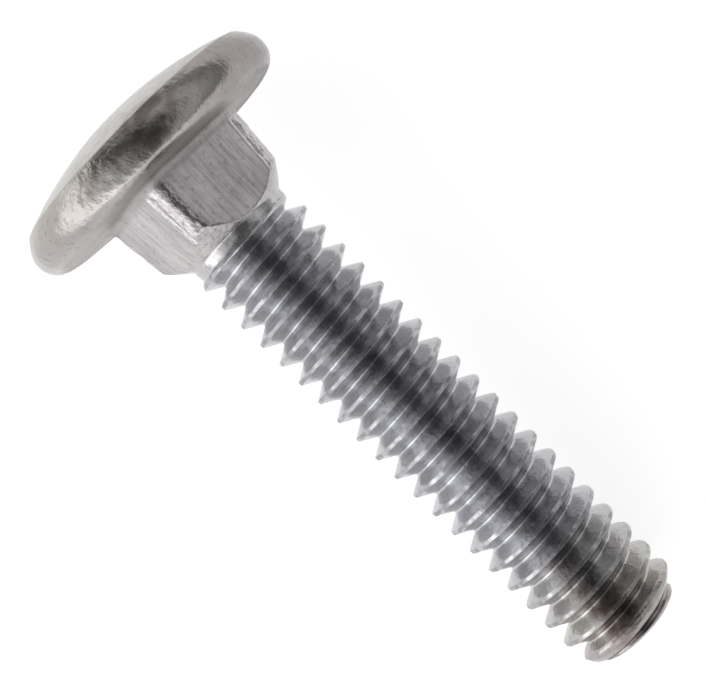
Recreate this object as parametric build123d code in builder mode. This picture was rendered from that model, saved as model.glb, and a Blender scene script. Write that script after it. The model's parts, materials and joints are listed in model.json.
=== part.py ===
from build123d import *
import math
import os

# Carriage bolt, inch size 1/4-20 by 1-1/4, in millimetres. It was cold headed from one wire
# and its thread was rolled, so it is one solid.
#
# The bolt is made on its own axis first: Z = 0 is the bearing face under the head and +Z runs
# to the point. The plane called resting then lays it down as it comes to rest: the rim of the
# head and the last of the full diameter touch Z = 0, and the middle of its box is on X = 0,
# Y = 0. The threaded length is solid at the thread's major diameter.

# Head
head_diameter = 14.95
head_height = 3.64          # bearing face to the top of the dome
shoulder_height = 2.27      # bearing face to the circle where rim and dome meet
dome_inset = 0.58           # that circle lies this far inside the rim
rim_edge_radius = 1.15      # rounding between the rim and the bearing face
head_offset = 0.27          # the head was struck this far off the shank's axis

# Square neck, drawn in by the draft of the die
neck_side = 6.55            # across flats at the bearing face
neck_end_side = 5.9         # across flats at the far end
neck_corner_radius = 0.95
neck_length = 4.25          # bearing face to the plain shank
neck_slope = 45             # degrees, at which the corners fall to the shank
neck_blend = 0.5            # hollow between bearing face and neck
neck_turn = -28             # degrees about the bolt's own axis, as it lies
neck_offset = 0.14          # off the shank's axis, the same way as the head
trim_clearance = 0.5        # the profile that slopes the corners starts this far outside them

# Plain shank and thread
shank_diameter = 5.64       # the wire before rolling
bolt_length = 31.1          # bearing face to the point's end face
major_diameter = 6.24
thread_start = 4.5          # end of the plain shank
thread_rise = 0.5           # length over which the shank rises to full diameter
point_length = 1.3          # bevelled end, along the bolt
point_depth = 0.87          # and in from the major diameter

# What follows from them
head_radius = head_diameter / 2
bearing_radius = head_radius - rim_edge_radius
dome_radius = head_radius - dome_inset
shank_radius = shank_diameter / 2
major_radius = major_diameter / 2
half_section = Plane.XZ
head_section = Plane.XZ.offset(head_offset)
square_end = Plane(origin=(0, -neck_offset, 0)).rotated((0, 0, neck_turn))

# Head: dome, rounded rim and flat bearing face, turned about its own centre
with BuildPart() as head:
    with BuildSketch(head_section):
        with BuildLine():
            Line((0, -head_height), (0, 0))
            Line((0, 0), (bearing_radius, 0))
            TangentArc((bearing_radius, 0), (head_radius, -rim_edge_radius), tangent=(1, 0))
            TangentArc(
                (head_radius, -rim_edge_radius), (dome_radius, -shoulder_height), tangent=(0, -1)
            )
            TangentArc((0, -head_height), (dome_radius, -shoulder_height), tangent=(1, 0))
        make_face()
    revolve(axis=Axis((0, -head_offset, 0), (0, 0, 1)))

# Square neck: drafted, with rounded corners that fall to the shank
corner_reach = (neck_side / 2 - neck_corner_radius) * math.sqrt(2) + neck_corner_radius
trim_radius = corner_reach + neck_offset + trim_clearance
slope_run = (trim_radius - shank_radius) / math.tan(math.radians(neck_slope))
with BuildPart() as neck:
    with BuildSketch(square_end):
        RectangleRounded(neck_side, neck_side, neck_corner_radius)
    with BuildSketch(square_end.offset(neck_length)):
        RectangleRounded(neck_end_side, neck_end_side, neck_corner_radius)
    loft()
    with BuildSketch(half_section):
        with BuildLine():
            Polyline(
                (0, neck_length),
                (shank_radius, neck_length),
                (trim_radius, neck_length - slope_run),
                (trim_radius, -neck_blend),
                (0, -neck_blend),
                close=True,
            )
        make_face()
    revolve(axis=Axis.Z, mode=Mode.INTERSECT)

# Shank: plain at the wire's diameter, then the thread's major diameter to a bevelled point
with BuildPart() as shank:
    with BuildSketch(half_section):
        with BuildLine():
            Polyline(
                (0, 0),
                (shank_radius, 0),
                (shank_radius, thread_start),
                (major_radius, thread_start + thread_rise),
                (major_radius, bolt_length - point_length),
                (major_radius - point_depth, bolt_length),
                (0, bolt_length),
                close=True,
            )
        make_face()
    revolve(axis=Axis.Z)

# The one piece, with a hollow blend where the neck leaves the bearing face
with BuildPart() as upright:
    add(head.part)
    add(neck.part)
    neck_foot = upright.edges().filter_by_position(Axis.Z, -0.001, 0.001)
    neck_foot = neck_foot.filter_by(lambda edge: edge.center().length < neck_side)
    fillet(neck_foot, radius=neck_blend)
    add(shank.part)

# Lying down: the rim's rounding and the end of the full diameter both touch the floor
drop = bearing_radius - major_radius
reach = bolt_length - point_length + rim_edge_radius
lean = math.atan2(drop, reach) + math.asin(rim_edge_radius / math.hypot(drop, reach))
lean_sine = math.sin(lean)
lean_cosine = math.cos(lean)
origin_height = rim_edge_radius * (1 - lean_sine) + bearing_radius * lean_cosine
dome_rise = head_height - shoulder_height
dome_sphere = (dome_radius**2 + dome_rise**2) / (2 * dome_rise)
back = (dome_sphere - head_height) * lean_cosine - dome_sphere
front = bolt_length * lean_cosine + (major_radius - point_depth) * lean_sine
resting = Plane(
    origin=(-(back + front) / 2, head_offset, origin_height),
    x_dir=(-lean_sine, 0, -lean_cosine),
    z_dir=(lean_cosine, 0, -lean_sine),
)
with BuildPart(resting) as bolt:
    add(upright.part)

os.makedirs("parts", exist_ok=True)
bolt.part.label = "bolt"
export_step(bolt.part, "parts/bolt.step")
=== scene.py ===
import json
import math

import bpy
from mathutils import Matrix, Vector, noise


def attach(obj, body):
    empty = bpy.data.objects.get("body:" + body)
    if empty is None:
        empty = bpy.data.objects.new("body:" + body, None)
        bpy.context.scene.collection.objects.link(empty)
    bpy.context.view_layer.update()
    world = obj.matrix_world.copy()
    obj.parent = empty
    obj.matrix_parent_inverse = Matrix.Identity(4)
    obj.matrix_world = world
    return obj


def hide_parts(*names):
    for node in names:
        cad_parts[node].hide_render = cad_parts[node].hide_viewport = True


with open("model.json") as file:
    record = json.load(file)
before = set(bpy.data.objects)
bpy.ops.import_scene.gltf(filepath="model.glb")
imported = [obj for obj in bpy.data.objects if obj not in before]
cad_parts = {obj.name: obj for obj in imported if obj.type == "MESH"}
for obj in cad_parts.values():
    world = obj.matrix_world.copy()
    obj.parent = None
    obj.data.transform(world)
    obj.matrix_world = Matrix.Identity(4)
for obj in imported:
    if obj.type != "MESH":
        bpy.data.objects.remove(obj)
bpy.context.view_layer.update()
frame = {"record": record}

MM = 0.001
QUARTER = math.pi / 2
EIGHTH = math.pi / 4

# ---------------------------------------------------------------- the bolt's own axis
# Lengths below are millimetres. u runs from the bearing face towards the point, and an angle
# turns from +Y towards the side that faces up. The bearing face and the axis are the record's.
mount = {m["name"]: m for m in frame["record"]["mounts"]}["under_head"]
BEARING = Vector(mount["pos_m"])
ALONG = Vector(mount["axis"]).normalized()
ACROSS = Vector((0, 1, 0))
UPWARD = ALONG.cross(ACROSS)


def place(u, y, z):
    """A point of the bolt, from its own axes in millimetres to the row's frame in metres."""
    return BEARING + (ALONG * u + ACROSS * y + UPWARD * z) * MM


# ---------------------------------------------------------------- sizes
HEAD_RADIUS = 7.475
HEAD_HEIGHT = 3.64
SHOULDER_HEIGHT = 2.27      # bearing face to the circle where rim and dome meet
DOME_RADIUS = 6.895         # of that circle
DOME_EDGE = 0.05            # the dome's last ring but one is this far inside it
DOME_SPACING = 0.85         # below 1, the dome's rings get closer towards its edge
TOP_SKIN = 0.01             # the dome's very top is set in by this much
RIM_BULGE = 1.75            # how full the rim is below that circle
RIM_EDGE = 1.15
RIM_SQUARENESS = 2.3        # 2 is round
HEAD_OFFSET = 0.27
BEARING_GROOVE = ((0.05, 0.045), (0.13, 0.055), (0.20, 0.02))   # in from its edge, and deep
DENTED_PLACE = (-1.5, -3.0, 6.8)
DENTED_REACH = 1.9
DENTED_COARSE = 0.5
# A brown stain on top of the rim, darkened as painted shade where the dark overhead reflects.
RIM_STAIN_AND_SHADE = ((-1.8, 0.9, 7.2), (1.6, 2.0, 1.5))     # its middle, and how far it reaches

NECK_HALF = 3.275
NECK_END_HALF = 2.95
NECK_CORNER = 0.95
NECK_LENGTH = 4.25
NECK_BLEND = 0.5
NECK_OFFSET = 0.14
OFFSET_FADE = 3.2           # from here the neck runs back to the shank's axis
NECK_FACE_ANGLE = math.radians(62)
CORNER_REACH = 3.9          # radius at which the corners' lumps are read
CORNER_FALL = 2.7           # about where the corners start to fall to the shank
CORNER_SINK = 0.17          # the corners didn't fill the die
SINK_MIDDLE = 0.25          # share of the sink in a corner's middle, and what its edges add or lose
SINK_TILT = 0.6
CORNER_HALF_WIDTH = math.radians(8)
COARSE_END = 3.0            # the corners' coarse skin fades out from here, over this length
COARSE_FADE = 0.5
CREASE_DEPTH = 0.05         # along the corner's edge nearer +Y
CREASE_PLACE = 0.72         # share of the corner's half width where it starts, and its softness
CREASE_FADE = 0.2
SLOPE_BLEND = 0.10          # rounding where a corner turns to its slope
SLOPE_REACH = 4.0           # radius at which the slopes' lumps are read

SHANK_RADIUS = 2.82
MAJOR_RADIUS = 3.12
BOLT_LENGTH = 31.1
POINT_LENGTH = 1.3
POINT_DEPTH = 0.87
POINT_SHIFT = 0.10          # the bevel gets this far off centre, over this length
POINT_SHIFT_FADE = 0.6
POINT_SLOPE = 0.5           # of the bevel's straight part, and how far that reaches
POINT_STRAIGHT = 0.8
POINT_ROUND = POINT_DEPTH - POINT_SLOPE * POINT_LENGTH
POINT_STAIN = ((29.6, -0.55, 2.7), (5.5, 1.25, 2.2))
END_RADIUS = MAJOR_RADIUS - POINT_DEPTH
END_MIDDLE = 0.05           # the end face is hollow by this much
END_FACE = (                # radius and depth of its rings
    (END_RADIUS - 0.03, 0.05), (END_RADIUS - 0.10, 0.01), (END_RADIUS - 0.25, 0.0),
    (1.3, 0.03), (0.5, END_MIDDLE),
)

PITCH = 1.27
THREAD_DEPTH = 0.83
FLANK = math.radians(60)    # off the bolt's axis
ROOT_ARC = 0.115
CREST_ARC = 0.045
CREST_SEAM = 0.003          # depth of the faint fold that rolling leaves along the crest
FIRST_CREST = 5.737         # where the first full crest passes the +Y side
THREAD_START = 4.5
THREAD_FADE = 0.75          # length over which the thread comes up to full form
GRAIN_FROM = 0.85           # share of the thread's height where the crest's grain starts
WEAR_AND_SHADE_FROM = 0.93            # and where its wear and painted shade do
WEAR_AND_SHADE_FADE = 0.05
WEAR_AND_SHADE_REACH = 3.0            # radius at which the patches of wear and painted shade are read
START_GAP = 0.08            # from the plain shank's end to the thread's first ring
END_GAP = 0.12              # from the thread's last ring to the bolt's end
END_SPREAD = 0.03           # that ring is this much wider than the end's plain radius
CHIPS_START = 12.0          # from here the plating gets coarser towards the point
CHIPS_LENGTH = 16.0
CHIPS_MOST = 0.60

# ---------------------------------------------------------------- unevenness
# Lumps are given by height and size in millimetres and a seed. A skin is how far a surface is
# set in, so that its lumps stay within the plain form.
HEAD_WAVES = ((0.020, 3.0, 1), (0.007, 0.9, 2))
HEAD_SKIN = 0.018
RIM_GRAIN = ((0.010, 0.45, 11), (0.016, 1.3, 12))
RIM_DENTS = ((0.030, 0.38, 15), (0.030, 0.9, 16))
BEARING_WAVES = ((0.014, 1.2, 4), (0.006, 0.4, 13))
BEARING_SKIN = 0.020
CORNER_LUMPS = ((0.045, 0.42, 3), (0.035, 0.9, 14))
SLOPE_LUMPS = ((0.05, 1.6, 5),)
THREAD_GRAIN = ((0.004, 0.5, 6),)
THREAD_SKIN = 0.006
CREST_GRAIN = ((0.016, 0.22, 7),)
CREST_SKIN = 0.014
POINT_LUMPS = ((0.02, 0.6, 8),)
POINT_SKIN = 0.01
# The die's lines are given by height, width and length, and by what sets each face's apart.
DIE_LINES = ((0.008, 0.26, 9.0, 9.1, 0), (0.026, 0.9, 7.0, 5.3, 40))
DIE_SKIN = 0.012
# Patches are given by cover, contrast, size and seed. A cover of 0.5 is half of the surface.
WEAR_AND_SHADE_PATCHES = (0.56, 1.5, 0.35, 9)
CHIP_PATCHES = (0.35, 1.6, 0.9, 17)
STAIN_AND_SHADE_PATCHES = (0.75, 1.6, 0.5, 18)

# ---------------------------------------------------------------- mesh density
THREAD_STEPS = 96           # points round the thread
SPLIT = 3                   # points round the head and neck for each of those
HEAD_STEPS = THREAD_STEPS * SPLIT
DOME_RINGS = 26
RIM_RINGS = 18              # on the rim's side, and as many round its edge
BEARING_RINGS = 12
BLEND_RINGS = 9
NECK_RINGS = 18
FALL_RINGS = 30
SHANK_RINGS = 3
ARC_STEPS = 3               # in each rounding of the thread's form
FLANK_SHARES = (0.05, 0.5, 0.95)
RING_MARGIN = 0.03          # least gap between the thread's points and the rings at its ends
HEAD_ANGLES = [2 * math.pi * m / HEAD_STEPS for m in range(HEAD_STEPS)]
THREAD_ANGLES = [2 * math.pi * m / THREAD_STEPS for m in range(THREAD_STEPS)]


def smooth(x):
    """0 below 0, 1 above 1, with a soft start and end."""
    x = min(max(x, 0.0), 1.0)
    return x * x * (3 - 2 * x)


def soft_lesser(first, second, blend):
    """The lesser of two lengths, rounded where they cross."""
    gap = (first - second) / blend
    if gap > 1:
        return second
    if gap > -1:
        return first - blend * (gap + 1) ** 2 / 4
    return first


def spaced(first, last, steps):
    """Places from the first to the last in even steps, without the first."""
    return [first + (last - first) * i / steps for i in range(1, steps + 1)]


def lump(u, y, z, size, seed):
    """Smooth noise from -1 to 1 over features of the given size in millimetres."""
    return noise.noise(Vector((u / size + seed * 17.3, y / size, z / size)))


def bumps(u, y, z, kinds):
    """Several lumps added up."""
    return sum(height * lump(u, y, z, size, seed) for height, size, seed in kinds)


def patchy(u, y, z, kind):
    """Patches of 1 on 0, with soft edges."""
    cover, contrast, size, seed = kind
    return smooth(cover + contrast * lump(u, y, z, size, seed))


def stain_and_shade_at(spot, stain_and_shade):
    """How brown and dark the plating is at a spot, from 1 in the middle of a patch to 0 outside it. On the
    point it is a stain, and on the rim a stain with painted shade.
    """
    middle, reach = stain_and_shade
    apart = math.hypot(*((a - b) / r for a, b, r in zip(spot, middle, reach)))
    return smooth(1.8 * (1 - apart)) * patchy(*spot, STAIN_AND_SHADE_PATCHES)


# ---------------------------------------------------------------- head
def head_outline():
    """(radius, u) pairs from the top of the dome round the rim to the bearing face's edge."""
    rise = HEAD_HEIGHT - SHOULDER_HEIGHT
    sphere = (DOME_RADIUS**2 + rise**2) / (2 * rise)
    points = []
    for i in range(1, DOME_RINGS + 1):
        radius = (DOME_RADIUS - DOME_EDGE) * (i / DOME_RINGS) ** DOME_SPACING
        points.append((radius, -HEAD_HEIGHT + sphere - math.sqrt(sphere**2 - radius**2)))
    points.append((DOME_RADIUS, -SHOULDER_HEIGHT))
    inset = HEAD_RADIUS - DOME_RADIUS
    climb = SHOULDER_HEIGHT - RIM_EDGE
    for i in range(1, RIM_RINGS + 1):
        share = i / RIM_RINGS
        radius = HEAD_RADIUS - inset * (1 - share) ** RIM_BULGE
        points.append((radius, -SHOULDER_HEIGHT + climb * share))
    for i in range(1, RIM_RINGS + 1):
        turn = QUARTER * i / RIM_RINGS
        out = math.cos(turn) ** (2 / RIM_SQUARENESS)
        up = math.sin(turn) ** (2 / RIM_SQUARENESS)
        points.append((HEAD_RADIUS - RIM_EDGE * (1 - out), -RIM_EDGE * (1 - up)))
    edge = HEAD_RADIUS - RIM_EDGE
    return points + [(edge - inward, -deep) for inward, deep in BEARING_GROOVE]


def dented(u, y, z):
    """1 in the middle of the rim's dented patch, 0 away from it."""
    apart = math.dist((u, y, z), DENTED_PLACE) / DENTED_REACH
    return 1 - smooth(apart - 0.4)


def head_sink(u, y, z):
    """How far the forged head's skin lies inside its plain form."""
    rim = smooth((math.hypot(y, z) - DOME_RADIUS) / 0.3)
    dents = dented(u, y, z) * bumps(u, y, z, RIM_DENTS)
    return HEAD_SKIN + bumps(u, y, z, HEAD_WAVES) + rim * (bumps(u, y, z, RIM_GRAIN) + dents)


def head_rings():
    """Rings over the dome and round the rim."""
    rings = []
    outline = head_outline()
    for number, (radius, u) in enumerate(outline):
        before, after = outline[max(number - 1, 0)], outline[min(number + 1, len(outline) - 1)]
        tilt = math.atan2(after[0] - before[0], after[1] - before[1])
        ring = []
        for a in HEAD_ANGLES:
            sink = head_sink(u, radius * math.cos(a), radius * math.sin(a))
            reach = radius - sink * math.cos(tilt)
            spot = (u + sink * math.sin(tilt), reach * math.cos(a) - HEAD_OFFSET, reach * math.sin(a))
            # The rim's stain here is partly painted shade.
            ring.append((*spot, DENTED_COARSE * dented(*spot), stain_and_shade_at(spot, RIM_STAIN_AND_SHADE)))
        rings.append(ring)
    return rings


def bearing_rings():
    """Rings over the bearing face, from its edge in to the neck."""
    rings = []
    outer = head_outline()[-1][0]
    for i in range(1, BEARING_RINGS + 1):
        share = i / (BEARING_RINGS + 1)
        ring = []
        for a in HEAD_ANGLES:
            y0, z0 = outer * math.cos(a) - HEAD_OFFSET, outer * math.sin(a)
            y1, z1 = neck_point(a, 0.0)
            y, z = y0 + (y1 - y0) * share, z0 + (z1 - z0) * share
            ring.append((bumps(0, y, z, BEARING_WAVES) - BEARING_SKIN, y, z))
        rings.append(ring)
    return rings


# ---------------------------------------------------------------- square neck
def off_face(angle):
    """How far an angle is off the normal of the neck's nearest face."""
    return (angle - NECK_FACE_ANGLE + EIGHTH) % QUARTER - EIGHTH


def square_radius(angle, half):
    """Distance from the middle of a rounded square to its side, for half its width."""
    off = off_face(angle)
    if math.tan(abs(off)) * half <= half - NECK_CORNER:
        return half / math.cos(off)
    reach = (half - NECK_CORNER) * math.sqrt(2)
    swing = EIGHTH - abs(off)
    return reach * math.cos(swing) + math.sqrt(NECK_CORNER**2 - (reach * math.sin(swing)) ** 2)


def corner_swing(angle):
    """Place across a corner of the neck, -1 at the edge nearer +Y and 1 at the other."""
    return ((angle - NECK_FACE_ANGLE) % QUARTER - EIGHTH) / CORNER_HALF_WIDTH


def corner_weight(angle):
    """1 in the middle of a corner of the neck, 0 on its faces."""
    return 1 - smooth((abs(corner_swing(angle)) - 1) / 0.25)


def neck_half(u):
    """Half the neck's width across flats, with the hollow blend at the bearing face."""
    half = NECK_HALF + (NECK_END_HALF - NECK_HALF) * (u / NECK_LENGTH)
    if u < NECK_BLEND:
        rise = 1 - u / NECK_BLEND
        half += NECK_BLEND * (1 - math.sqrt(1 - rise * rise))
    return half


def past_blend(u):
    """0 in the hollow blend at the neck's foot, 1 past it."""
    return smooth(u / NECK_BLEND - 0.4)


def die_lines(angle, u):
    """Fine lines along the neck's faces, left by the die."""
    across = math.tan(off_face(angle)) * NECK_HALF
    face = round((angle - NECK_FACE_ANGLE) / QUARTER) % 4
    lines = 0.0
    for height, width, length, step, seed in DIE_LINES:
        lines += height * noise.noise(Vector((across / width, u / length, face * step + seed)))
    return lines - DIE_SKIN


def neck_point(angle, u):
    """(y, z) of the neck's side at an angle, down to where it meets the shank."""
    cosine, sine = math.cos(angle), math.sin(angle)
    radius = square_radius(angle, neck_half(u))
    corner = corner_weight(angle)
    body = past_blend(u)
    swing = min(max(corner_swing(angle), -1.0), 1.0)
    crease = CREASE_DEPTH * smooth((-swing - CREASE_PLACE) / CREASE_FADE)
    radius -= (CORNER_SINK * (SINK_MIDDLE + SINK_TILT * swing) + crease) * corner * body
    rough = bumps(u, CORNER_REACH * cosine, CORNER_REACH * sine, CORNER_LUMPS)
    radius += rough * corner * body + die_lines(angle, u) * (1 - corner) * body
    slope = SHANK_RADIUS + max(NECK_LENGTH - u, 0.0)
    slope += bumps(u, SLOPE_REACH * cosine, SLOPE_REACH * sine, SLOPE_LUMPS)
    radius = max(soft_lesser(radius, slope, SLOPE_BLEND), SHANK_RADIUS)
    offset = NECK_OFFSET * (1 - smooth((u - OFFSET_FADE) / (NECK_LENGTH - OFFSET_FADE)))
    return radius * cosine - offset, radius * sine


def neck_rings():
    """Rings down the neck and the plain shank. The neck's corners are coarse."""
    stations = [NECK_BLEND * (1 - math.cos(QUARTER * i / BLEND_RINGS)) for i in range(BLEND_RINGS + 1)]
    stations += spaced(NECK_BLEND, CORNER_FALL, NECK_RINGS)
    stations += spaced(CORNER_FALL, NECK_LENGTH, FALL_RINGS)
    stations += spaced(NECK_LENGTH, THREAD_START, SHANK_RINGS)
    rings = []
    for u in stations:
        body = past_blend(u) * (1 - smooth((u - COARSE_END) / COARSE_FADE))
        rings.append([(u, *neck_point(a, u), corner_weight(a) * body) for a in HEAD_ANGLES])
    return rings


# ---------------------------------------------------------------- thread
def thread_outline():
    """(phase, height) pairs across one pitch. The crest is at phase 0, the root at 0.5."""
    root_x, root_height = ROOT_ARC * math.sin(FLANK), ROOT_ARC * (1 - math.cos(FLANK))
    crest_height = THREAD_DEPTH - CREST_ARC * (1 - math.cos(FLANK))
    climb = crest_height - root_height
    flank = climb / math.tan(FLANK)
    half = []
    for i in range(ARC_STEPS + 1):
        turn = FLANK * i / ARC_STEPS
        half.append((ROOT_ARC * math.sin(turn), ROOT_ARC * (1 - math.cos(turn))))
    half += [(root_x + flank * share, root_height + climb * share) for share in FLANK_SHARES]
    for i in range(ARC_STEPS + 1):
        turn = FLANK * (1 - i / ARC_STEPS)
        x = root_x + flank + CREST_ARC * (math.sin(FLANK) - math.sin(turn))
        half.append((x, THREAD_DEPTH - CREST_ARC * (1 - math.cos(turn))))
    middle = PITCH / 2
    half.append(((half[-1][0] + middle) / 2, THREAD_DEPTH))
    rising = [(x - middle, h) for x, h in half]
    falling = [(-x, h) for x, h in reversed(rising)][:-1]
    seam = [(0.0, THREAD_DEPTH - CREST_SEAM)]
    return [(x / PITCH, h) for x, h in rising + seam + falling]


def point_radius(u, angle):
    """Radius of the slightly off-centre bevel at the end, with its rounded edge."""
    past = u - (BOLT_LENGTH - POINT_LENGTH)
    if past < 0:
        return MAJOR_RADIUS - past
    edge = max(past - POINT_STRAIGHT, 0.0) / (POINT_LENGTH - POINT_STRAIGHT)
    shift = POINT_SHIFT * math.cos(angle) * smooth(past / POINT_SHIFT_FADE)
    return MAJOR_RADIUS - POINT_SLOPE * past - POINT_ROUND * edge**2 - shift


def thread_radius(u, height, angle):
    """Radius of the thread's surface where its form has the given height above the root."""
    form = MAJOR_RADIUS - THREAD_DEPTH + height
    shown = smooth((u - THREAD_START) / THREAD_FADE)
    radius = SHANK_RADIUS + (form - SHANK_RADIUS) * shown
    y, z = radius * math.cos(angle), radius * math.sin(angle)
    crest = smooth((height / THREAD_DEPTH - GRAIN_FROM) / (1 - GRAIN_FROM))
    radius += bumps(u, y, z, THREAD_GRAIN) - THREAD_SKIN
    radius += crest * shown * (bumps(u, y, z, CREST_GRAIN) - CREST_SKIN)
    return min(radius, point_radius(u, angle) + bumps(u, y, z, POINT_LUMPS) - POINT_SKIN)


def crest_wear_and_shade(u, height, angle):
    """How dark and rough the crest's fold is at a place, from 0 to 1: rough from wear, and dark from wear
    and painted shade.
    """
    crest = smooth((height / THREAD_DEPTH - WEAR_AND_SHADE_FROM) / WEAR_AND_SHADE_FADE)
    return crest * patchy(u, WEAR_AND_SHADE_REACH * math.cos(angle), WEAR_AND_SHADE_REACH * math.sin(angle), WEAR_AND_SHADE_PATCHES)


def chipped(u, y, z):
    """How coarse the plating is on the thread, more so towards the point."""
    return CHIPS_MOST * smooth((u - CHIPS_START) / CHIPS_LENGTH) * patchy(u, y, z, CHIP_PATCHES)


def circle(u, radius, middle=0.0):
    """A plain ring round the thread's end, its middle moved along Y."""
    return [(u, middle + radius * math.cos(a), radius * math.sin(a)) for a in THREAD_ANGLES]


# ---------------------------------------------------------------- mesh
class Mesh:
    """Vertices and faces gathered piece by piece."""

    def __init__(self):
        self.points = []
        self.coarse = []
        self.stain_and_shade = []
        self.worn_and_shaded = []
        self.faces = []

    def add(self, u, y, z, coarse=0.0, stain_and_shade=0.0, worn_and_shaded=0.0):
        """A vertex, with how coarse the skin is there and how much stain, crest wear and painted shade it
        gets.
        """
        self.points.append((u, y, z))
        self.coarse.append(coarse)
        self.stain_and_shade.append(stain_and_shade)
        self.worn_and_shaded.append(worn_and_shaded)
        return len(self.points) - 1

    def ring(self, ring):
        """A ring of vertices from what add takes for each."""
        return [self.add(*p) for p in ring]

    def band(self, first, second):
        """Faces between two rings of as many vertices."""
        for i in range(len(first)):
            j = (i + 1) % len(first)
            self.faces.append((first[i], first[j], second[j], second[i]))


def thread_columns(mesh, first_u, last_u):
    """For each angle, the thread's vertices that lie between the two rings, by line number."""
    outline = thread_outline()
    lines = len(outline)
    columns = []
    for m, angle in enumerate(THREAD_ANGLES):
        base = FIRST_CREST + PITCH * m / THREAD_STEPS
        column = {}
        turn = math.floor((first_u - base) / PITCH) - 1
        while base + PITCH * (turn - 1) < last_u:
            for i, (phase, height) in enumerate(outline):
                u = base + PITCH * (turn + phase)
                if first_u + RING_MARGIN < u < last_u - RING_MARGIN:
                    radius = thread_radius(u, height, angle)
                    y, z = radius * math.cos(angle), radius * math.sin(angle)
                    # The crest's wear here carries painted shade too.
                    skin = (chipped(u, y, z), stain_and_shade_at((u, y, z), POINT_STAIN), crest_wear_and_shade(u, height, angle))
                    column[turn * lines + i] = mesh.add(u, y, z, *skin)
            turn += 1
        columns.append(column)
    return columns, lines


def add_thread(mesh, first_ring, first_u, last_ring, last_u):
    """Thread surface between two plain rings, in strips that follow the helix."""
    columns, lines = thread_columns(mesh, first_u, last_u)
    for m in range(THREAD_STEPS):
        here = columns[m]
        after = (m + 1) % THREAD_STEPS
        there = columns[after]
        if after == 0:
            there = {number - lines: v for number, v in there.items()}
        shared = sorted(set(here) & set(there))
        for a, b in zip(shared, shared[1:]):
            mesh.faces.append((here[a], there[a], there[b], here[b]))
        low, high = shared[0], shared[-1]
        below_here = [here[k] for k in sorted(here) if k < low]
        below_there = [there[k] for k in sorted(there) if k < low]
        face = [first_ring[m], first_ring[after]] + below_there + [there[low], here[low]]
        mesh.faces.append(tuple(face + below_here[::-1]))
        above_here = [here[k] for k in sorted(here) if k > high]
        above_there = [there[k] for k in sorted(there) if k > high]
        face = [here[high], there[high]] + above_there + [last_ring[after], last_ring[m]]
        mesh.faces.append(tuple(face + above_here[::-1]))


def add_head(mesh):
    """The head, the neck and the plain shank. Returns the shank's last ring."""
    rings = [mesh.ring(r) for r in head_rings() + bearing_rings() + neck_rings()]
    top = mesh.add(-HEAD_HEIGHT + TOP_SKIN, -HEAD_OFFSET, 0)
    for i in range(HEAD_STEPS):
        mesh.faces.append((top, rings[0][(i + 1) % HEAD_STEPS], rings[0][i]))
    for first, second in zip(rings, rings[1:]):
        mesh.band(first, second)
    return rings[-1]


def add_start(mesh, shank, u):
    """The ring that the thread starts from, joined to the shank's finer one."""
    start = mesh.ring(circle(u, SHANK_RADIUS))
    for m in range(THREAD_STEPS):
        edge = [shank[(SPLIT * m + k) % HEAD_STEPS] for k in range(SPLIT + 1)]
        mesh.faces.append((*edge, start[(m + 1) % THREAD_STEPS], start[m]))
    return start


def add_end(mesh, before):
    """The point's end face."""
    for radius, depth in END_FACE:
        ring = mesh.ring(circle(BOLT_LENGTH - depth, radius, -POINT_SHIFT))
        mesh.band(before, ring)
        before = ring
    middle = mesh.add(BOLT_LENGTH - END_MIDDLE, -POINT_SHIFT, 0)
    for m in range(THREAD_STEPS):
        mesh.faces.append((before[m], before[(m + 1) % THREAD_STEPS], middle))


def build_bolt():
    """The whole bolt as one closed mesh."""
    mesh = Mesh()
    start_u, end_u = THREAD_START + START_GAP, BOLT_LENGTH - END_GAP
    start = add_start(mesh, add_head(mesh), start_u)
    end = mesh.ring(circle(end_u, END_RADIUS + END_SPREAD, -POINT_SHIFT))
    add_thread(mesh, start, start_u, end, end_u)
    add_end(mesh, end)
    return mesh


def to_object(mesh, name, material):
    """A Blender object from the gathered mesh, smooth shaded, in the row's frame."""
    data = bpy.data.meshes.new(name)
    data.from_pydata([place(*p) for p in mesh.points], [], mesh.faces)
    data.validate()
    data.polygons.foreach_set("use_smooth", [True] * len(data.polygons))
    for kind, values in (("coarse", mesh.coarse), ("stain_and_shade", mesh.stain_and_shade), ("worn_and_shaded", mesh.worn_and_shaded)):
        attribute = data.attributes.new(kind, "FLOAT", "POINT")
        attribute.data.foreach_set("value", values)
    axes = data.attributes.new("bolt_axes", "FLOAT_VECTOR", "POINT")
    axes.data.foreach_set("vector", [c for p in mesh.points for c in p])
    data.materials.append(material)
    data.update()
    piece = bpy.data.objects.new(name, data)
    bpy.context.scene.collection.objects.link(piece)
    return piece


# ---------------------------------------------------------------- material nodes
def set_input(tree, socket, value):
    """Link a socket to another, or give it a number or a colour."""
    if isinstance(value, bpy.types.NodeSocket):
        tree.links.new(value, socket)
    elif isinstance(value, tuple):
        socket.default_value = (*value, 1)
    else:
        socket.default_value = value


def math_node(tree, operation, first, second):
    """A math node on two inputs, each a socket or a number."""
    node = tree.nodes.new("ShaderNodeMath")
    node.operation = operation
    set_input(tree, node.inputs[0], first)
    set_input(tree, node.inputs[1], second)
    return node.outputs[0]


def plus(tree, total, value, factor):
    """The total and a factor times the value."""
    return math_node(tree, "ADD", total, math_node(tree, "MULTIPLY", value, factor))


def noise_node(tree, where, size, detail, stretch=(1, 1, 1)):
    """Noise with features of the given size in millimetres, stretched along the bolt's axes."""
    mapping = tree.nodes.new("ShaderNodeMapping")
    tree.links.new(where, mapping.inputs["Vector"])
    mapping.inputs["Scale"].default_value = [1 / (size * k) for k in stretch]
    node = tree.nodes.new("ShaderNodeTexNoise")
    node.inputs["Scale"].default_value = 1.0
    node.inputs["Detail"].default_value = detail
    tree.links.new(mapping.outputs[0], node.inputs["Vector"])
    return node.outputs["Fac"]


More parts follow.
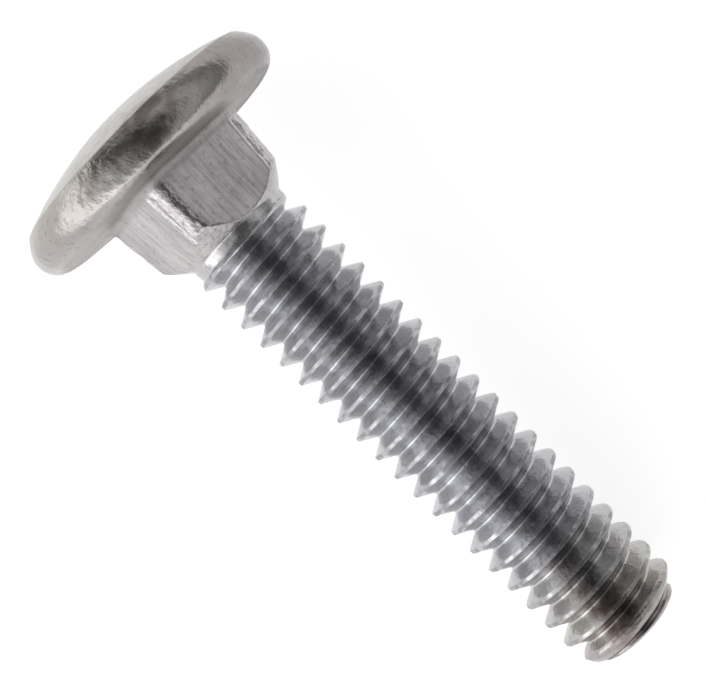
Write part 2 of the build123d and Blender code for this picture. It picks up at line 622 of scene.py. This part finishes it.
def ramp_node(tree, value, stops):
    """A colour ramp with (position, colour) stops."""
    node = tree.nodes.new("ShaderNodeValToRGB")
    tree.links.new(value, node.inputs[0])
    elements = node.color_ramp.elements
    while len(elements) < len(stops):
        elements.new(0.5)
    for element, (position, colour) in zip(elements, stops):
        element.position = position
        element.color = (*colour, 1)
    return node.outputs[0]


def mix_node(tree, blend, amount, first, second):
    """A colour mix of two inputs."""
    node = tree.nodes.new("ShaderNodeMix")
    node.data_type = "RGBA"
    node.blend_type = blend
    set_input(tree, node.inputs[0], amount)
    set_input(tree, node.inputs[6], first)
    set_input(tree, node.inputs[7], second)
    return node.outputs[2]


def attribute_node(tree, name, output):
    """A value or vector stored on the mesh's vertices."""
    node = tree.nodes.new("ShaderNodeAttribute")
    node.attribute_name = name
    return node.outputs[output]


def split_node(tree, vector):
    """The three parts of a vector."""
    node = tree.nodes.new("ShaderNodeSeparateXYZ")
    tree.links.new(vector, node.inputs[0])
    return node.outputs


def rise_node(tree, value, zero, one):
    """0 where the value is the first number and 1 where it is the second, even between."""
    node = tree.nodes.new("ShaderNodeMapRange")
    tree.links.new(value, node.inputs[0])
    node.inputs[1].default_value = zero
    node.inputs[2].default_value = one
    return node.outputs[0]


def band_node(tree, value, low, high, soft):
    """1 between two values and 0 outside, with soft edges."""
    rise = rise_node(tree, value, low - soft, low + soft)
    fall = rise_node(tree, value, high + soft, high - soft)
    return math_node(tree, "MULTIPLY", rise, fall)


# ---------------------------------------------------------------- materials
# The plating's colour along the bolt. Position 0.1 is the bearing face, and 0.1 more is 4 mm.
TONE_START = 0.1
TONE_LENGTH = 40.0
ZINC_TONES = (
    (0.00, (0.405, 0.385, 0.355)),
    (0.04, (0.410, 0.388, 0.358)),
    (0.06, (0.430, 0.403, 0.375)),
    (0.10, (0.455, 0.434, 0.420)),
    (0.12, (0.52, 0.497, 0.500)),
    (0.20, (0.52, 0.503, 0.498)),
    (0.24, (0.500, 0.505, 0.525)),
    (0.70, (0.500, 0.505, 0.525)),
    (0.82, (0.500, 0.488, 0.465)),
    (0.86, (0.400, 0.372, 0.360)),
)
CLOUD_TONES = ((0.30, (0.82, 0.81, 0.81)), (0.68, (1.06, 1.06, 1.06)))
SPECK_TONES = ((0.30, (0.60, 0.58, 0.57)), (0.44, (1, 1, 1)))
SCORE_TONES = ((0.36, (0.84, 0.82, 0.83)), (0.56, (1.03, 1.03, 1.03)))
RIPPLE_LEVELS = ((0.45, (0.2, 0.2, 0.2)), (0.62, (1, 1, 1)))
PAINTED_SHADE_SIDE_TONE = (0.54, 0.51, 0.54)      # painted shade: the head's +Y side is darker
PAINTED_SHADE_SIDE_REACH = (1.5, 7.0)             # from none to all of it, along +Y
# The crest's worn fold and the rim's stain are darkened as painted shade as well.
CREST_WEAR_AND_SHADE_TONE = (0.245, 0.243, 0.25)
STAIN_AND_SHADE_TONE = (0.205, 0.168, 0.160)
SPECK_SHARE = 0.6
CREST_WEAR_AND_SHADE_SHARE = 0.75
STAIN_AND_SHADE_SHARE = 0.85

# Sizes of the finer detail, in millimetres.
CLOUD_SIZE = 2.4
SPECK_SIZE = 0.22
SCORE_SIZE = 0.16
SCORE_STRETCH = (50, 1, 1)
GRAIN_SIZE = 0.35
RIPPLE_SIZE = 0.14
RIPPLE_PATCH_SIZE = 1.6
PIT_SIZE = 0.40
CHIP_SIZE = 0.24
BUMP_DEPTH = 0.035

ROUGH_LEAST = 0.12
ROUGH_GRAIN = 0.22
ROUGH_WORN = 0.10
ROUGH_FOOT = 0.28                   # the bearing face and the hollow at the neck's foot are matt
FOOT_BAND = (-0.10, 0.45, 0.08)     # along the bolt: from, to and softness
NECK_BAND = (0.35, NECK_LENGTH - 0.2, 0.15)
HEAD_END = (0.4, -0.2)              # where the head's painted shade fades in
SCORE_HEIGHT = 0.45                 # in the bump's depth
CHIP_HEIGHT = 3.2


def zinc_tone(tree, where, along, across):
    """The plate's colour along the bolt, with painted shade on the head's +Y side, clouds and specks."""
    position = math_node(tree, "ADD", math_node(tree, "DIVIDE", along, TONE_LENGTH), TONE_START)
    tone = ramp_node(tree, position, ZINC_TONES)
    on_head = rise_node(tree, along, *HEAD_END)
    painted_shade_side = math_node(tree, "MULTIPLY", rise_node(tree, across, *PAINTED_SHADE_SIDE_REACH), on_head)
    # Painted shade: the head's +Y side is darkened.
    tone = mix_node(tree, "MULTIPLY", painted_shade_side, tone, PAINTED_SHADE_SIDE_TONE)
    cloud = noise_node(tree, where, CLOUD_SIZE, 3.0)
    tone = mix_node(tree, "MULTIPLY", 1.0, tone, ramp_node(tree, cloud, CLOUD_TONES))
    speck = noise_node(tree, where, SPECK_SIZE, 4.0)
    return mix_node(tree, "MULTIPLY", SPECK_SHARE, tone, ramp_node(tree, speck, SPECK_TONES))


def zinc_height(tree, where, coarse, lines):
    """The height that the bump follows: ripples in patches, pits, the die's lines and chips."""
    patch = ramp_node(tree, noise_node(tree, where, RIPPLE_PATCH_SIZE, 2.0), RIPPLE_LEVELS)
    ripple = math_node(tree, "MULTIPLY", noise_node(tree, where, RIPPLE_SIZE, 3.0), patch)
    height = math_node(tree, "ADD", ripple, noise_node(tree, where, PIT_SIZE, 2.0))
    height = plus(tree, height, lines, SCORE_HEIGHT)
    chips = math_node(tree, "MULTIPLY", noise_node(tree, where, CHIP_SIZE, 3.0), coarse)
    return plus(tree, height, chips, CHIP_HEIGHT)


def zinc():
    """Bright zinc plate, bluish on the thread and duller and warmer on the forged head, with painted shade
    on the head's +Y side, in the rim's stain and on the crest's fold.
    """
    material = bpy.data.materials.new("bright_zinc")
    material.use_nodes = True
    tree = material.node_tree
    shader = tree.nodes["Principled BSDF"]
    shader.inputs["Metallic"].default_value = 1.0
    where = attribute_node(tree, "bolt_axes", "Vector")
    along, across, _ = split_node(tree, where)
    coarse, stain_and_shade, worn_and_shaded = (attribute_node(tree, name, "Fac") for name in ("coarse", "stain_and_shade", "worn_and_shaded"))
    neck = band_node(tree, along, *NECK_BAND)
    scored = noise_node(tree, where, SCORE_SIZE, 2.0, SCORE_STRETCH)

    tone = zinc_tone(tree, where, along, across)
    tone = mix_node(tree, "MULTIPLY", neck, tone, ramp_node(tree, scored, SCORE_TONES))
    # Painted shade darkens the crest's fold, along with its wear.
    tone = mix_node(tree, "MIX", math_node(tree, "MULTIPLY", worn_and_shaded, CREST_WEAR_AND_SHADE_SHARE), tone, CREST_WEAR_AND_SHADE_TONE)
    # The rim's brown stain carries painted shade, and the point's is only a stain.
    tone = mix_node(tree, "MIX", math_node(tree, "MULTIPLY", stain_and_shade, STAIN_AND_SHADE_SHARE), tone, STAIN_AND_SHADE_TONE)
    tree.links.new(tone, shader.inputs["Base Color"])

    rough = plus(tree, ROUGH_LEAST, noise_node(tree, where, GRAIN_SIZE, 4.0), ROUGH_GRAIN)
    rough = plus(tree, rough, worn_and_shaded, ROUGH_WORN)
    rough = plus(tree, rough, band_node(tree, along, *FOOT_BAND), ROUGH_FOOT)
    tree.links.new(rough, shader.inputs["Roughness"])

    bump = tree.nodes.new("ShaderNodeBump")
    bump.inputs["Strength"].default_value = 0.5
    bump.inputs["Distance"].default_value = BUMP_DEPTH * MM
    lines = math_node(tree, "MULTIPLY", scored, neck)
    tree.links.new(zinc_height(tree, where, coarse, lines), bump.inputs["Height"])
    tree.links.new(bump.outputs[0], shader.inputs["Normal"])
    return material


def pale(name, level, glow):
    """Floor paint that reads as white to the camera and in reflections."""
    material = bpy.data.materials.new(name)
    material.use_nodes = True
    tree = material.node_tree
    shader = tree.nodes["Principled BSDF"]
    shader.inputs["Base Color"].default_value = (level, level, level, 1)
    shader.inputs["Roughness"].default_value = 0.9
    shader.inputs["Specular IOR Level"].default_value = 0.0
    shader.inputs["Emission Color"].default_value = (1, 1, 1, 1)
    rays = tree.nodes.new("ShaderNodeLightPath").outputs
    seen = math_node(tree, "ADD", rays["Is Camera Ray"], rays["Is Glossy Ray"])
    seen = math_node(tree, "ADD", seen, rays["Is Transmission Ray"])
    tree.links.new(math_node(tree, "MULTIPLY", seen, glow), shader.inputs["Emission Strength"])
    return material


# ---------------------------------------------------------------- build
bolt = to_object(build_bolt(), "carriage_bolt", zinc())
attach(bolt, "root")
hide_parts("bolt")

FLOOR_HALF = 1.5            # metres
FLOOR_LEVEL = 0.8
FLOOR_GLOW = 0.71

floor_data = bpy.data.meshes.new("floor")
corners = ((-1, -1), (1, -1), (1, 1), (-1, 1))
floor_data.from_pydata([(x * FLOOR_HALF, y * FLOOR_HALF, 0) for x, y in corners], [], [(0, 1, 2, 3)])
floor = bpy.data.objects.new("floor", floor_data)
bpy.context.scene.collection.objects.link(floor)
floor_data.materials.append(pale("floor_white", FLOOR_LEVEL, FLOOR_GLOW))

# ---------------------------------------------------------------- camera
CAMERA_U = 7.38             # above this point of the axis, in millimetres
CAMERA_HEIGHT = 86.5
CAMERA_LEAN = 0.0525        # radians, the optical axis tips towards the point
IMAGE_TURN = math.radians(44.5)
LENS = 93.27

camera_data = bpy.data.cameras.new("camera")
camera_data.lens = LENS
camera_data.sensor_width = 36.0
camera_data.clip_start = 0.005
camera = bpy.data.objects.new("camera", camera_data)
bpy.context.scene.collection.objects.link(camera)
bpy.context.scene.camera = camera
lean_cos, lean_sin = math.cos(CAMERA_LEAN), math.sin(CAMERA_LEAN)
rightward = ALONG * lean_cos + UPWARD * lean_sin
backward = UPWARD * lean_cos - ALONG * lean_sin
turn_cos, turn_sin = math.cos(IMAGE_TURN), math.sin(IMAGE_TURN)
image_x = rightward * turn_cos + ACROSS * turn_sin
image_y = ACROSS * turn_cos - rightward * turn_sin
camera.matrix_world = Matrix((image_x, image_y, backward)).transposed().to_4x4()
camera.location = place(CAMERA_U, 0, CAMERA_HEIGHT)

# ---------------------------------------------------------------- light
# A long studio tent over the bolt: dark overhead, pale towards -Y and dimmer towards +Y.
# Degrees run from straight up towards -Y.
SKY = (
    (-120, 0.28), (-85, 0.28), (-72, 0.40), (-56, 0.75), (-43, 0.58), (-35, 0.36), (-27, 0.14),
    (-18, 0.095), (-1, 0.10), (8, 0.20), (21, 0.50), (36, 0.78), (49, 1.05), (64, 2.00),
    (84, 2.40), (110, 1.60),
)
SKY_SKEW = 0.36             # beyond the head the dark band bends towards -Y
SKY_TINT = (0.98, 0.98, 1.0)

scene = bpy.context.scene
scene.view_settings.view_transform = "Standard"
world = bpy.data.worlds.new("studio")
scene.world = world
world.use_nodes = True
tree = world.node_tree
background = tree.nodes["Background"]
toward_x, toward_y, toward_z = split_node(tree, tree.nodes.new("ShaderNodeTexCoord").outputs["Generated"])
skew = math_node(tree, "MULTIPLY", math_node(tree, "MINIMUM", toward_x, 0.0), SKY_SKEW)
sideways = math_node(tree, "SUBTRACT", skew, toward_y)
around = math_node(tree, "ARCTAN2", sideways, toward_z)
share = math_node(tree, "ADD", math_node(tree, "DIVIDE", around, 2 * math.pi), 0.5)
stops = [(0.5 + degrees / 360, tuple(level * k for k in SKY_TINT)) for degrees, level in SKY]
tree.links.new(ramp_node(tree, share, stops), background.inputs["Color"])
background.inputs["Strength"].default_value = 1.0
